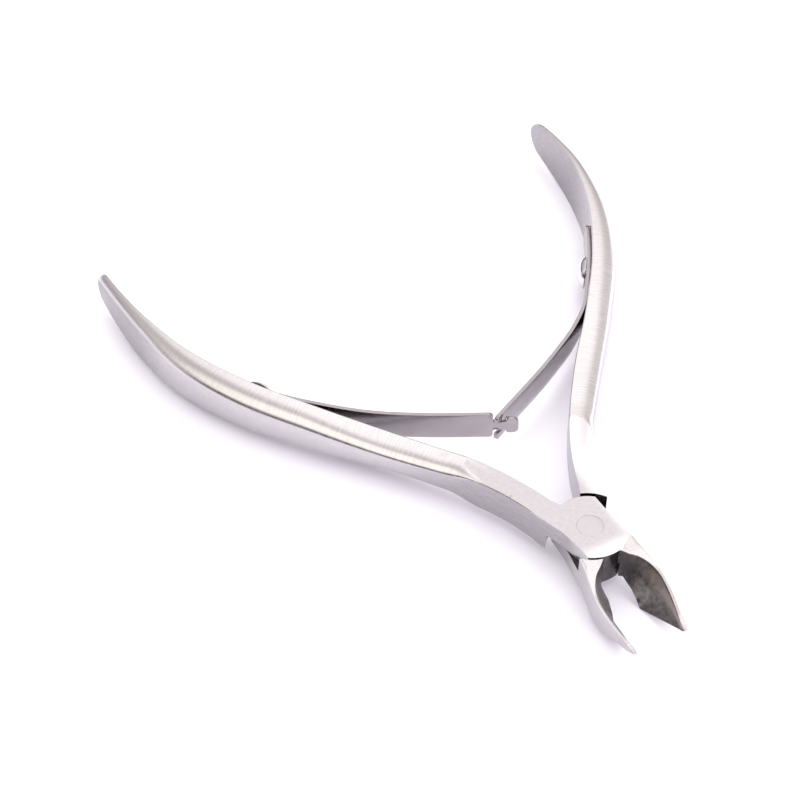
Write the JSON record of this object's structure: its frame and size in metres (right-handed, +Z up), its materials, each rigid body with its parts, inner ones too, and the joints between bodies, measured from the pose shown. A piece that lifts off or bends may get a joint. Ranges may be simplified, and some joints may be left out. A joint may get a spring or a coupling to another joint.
{
  "type": "cuticle nipper",
  "caption": "Steel cuticle nipper: crossed levers on a flush rivet, hollow-ground cupped jaws, curved half-round handles and interlocking leaf springs.",
  "frame": {"origin": "pivot axis at the underside of the lap joint", "axes": "+Z up along the pivot axis, +Y from the joint towards the handles, jaws towards -Y, +X to the right-hand lever"},
  "size_m": [0.081, 0.0979, 0.0096],
  "materials": {
    "satin_steel": "satin brushed stainless steel",
    "spring_steel": "smooth rolled spring steel",
    "polished_steel": "polished stainless steel"
  },
  "bodies": {
    "left_lever": {"lever_left": "satin_steel", "pivot_rivet": "satin_steel", "spring_rivet_left": "polished_steel"},
    "right_lever": {"lever_right": "satin_steel", "spring_rivet_right": "polished_steel"},
    "left_spring": {"leaf_spring_left": "spring_steel"},
    "right_spring": {"leaf_spring_right": "spring_steel"}
  },
  "joints": [
    {"name": "squeeze", "type": "hinge", "parent": "left_lever", "child": "right_lever", "pos_m": [0, 0, 0], "axis": [0, 0, 1], "range_deg": [0, 22.5], "stiffness_Nm_per_rad": 0.6},
    {"name": "left_spring_flex", "type": "hinge", "parent": "left_lever", "child": "left_spring", "pos_m": [-0.02603, 0.041, 0], "axis": [0, 0, 1], "range_deg": [-11.66, 0], "deforming": ["leaf_spring_left"]},
    {"name": "right_spring_flex", "type": "hinge", "parent": "right_lever", "child": "right_spring", "pos_m": [0.02603, 0.041, 0], "axis": [0, 0, 1], "range_deg": [0, 11.66], "deforming": ["leaf_spring_right"]}
  ],
  "couplings": [
    {"joint": "left_spring_flex", "follows": "squeeze", "ratio": -0.518},
    {"joint": "right_spring_flex", "follows": "squeeze", "ratio": 0.518}
  ]
}
